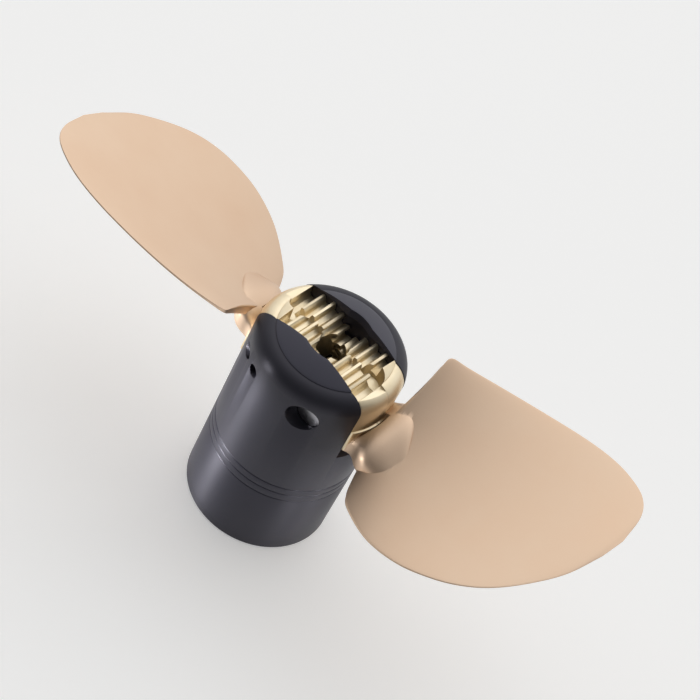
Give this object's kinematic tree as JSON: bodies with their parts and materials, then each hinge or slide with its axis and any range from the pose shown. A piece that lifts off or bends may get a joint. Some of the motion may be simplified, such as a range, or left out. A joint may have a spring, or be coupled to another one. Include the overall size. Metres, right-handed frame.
{
  "type": "two-blade geared folding ship propeller",
  "caption": "Folding boat propeller: round dark hub with a slotted aft end, bronze blades on cross pins, and meshing gear teeth that make both blades open and fold together.",
  "frame": {"origin": "centre of the hub's forward face, on the shaft axis", "axes": "+Z along the shaft, pointing aft; +X along open blade A; +Y along the pivot pins"},
  "size_m": [0.401, 0.1344, 0.1778],
  "materials": {
    "hub_coating": "satin",
    "blade_bronze": "satin",
    "stainless": "satin",
    "bush_rubber": "matte"
  },
  "bodies": {
    "hub": {"hub_body": "hub_coating", "pivot_pin_a": "stainless", "pivot_pin_b": "stainless", "set_screw_a": "stainless", "set_screw_b": "stainless", "rubber_bush": "bush_rubber", "spline_sleeve": "blade_bronze", "thrust_washer": "stainless", "hub_bolt": "stainless"},
    "blade_a": {"blade_a": "blade_bronze"},
    "blade_b": {"blade_b": "blade_bronze"}
  },
  "joints": [
    {"name": "blade_a_fold", "type": "hinge", "parent": "hub", "child": "blade_a", "pos_m": [0.0202, 0, 0.1337], "axis": [0, -1, 0], "range_deg": [0, 84]},
    {"name": "blade_b_fold", "type": "hinge", "parent": "hub", "child": "blade_b", "pos_m": [-0.0202, 0, 0.1337], "axis": [0, 1, 0], "range_deg": [0, 84]}
  ],
  "couplings": [
    {"joint": "blade_b_fold", "follows": "blade_a_fold", "ratio": 1}
  ]
}
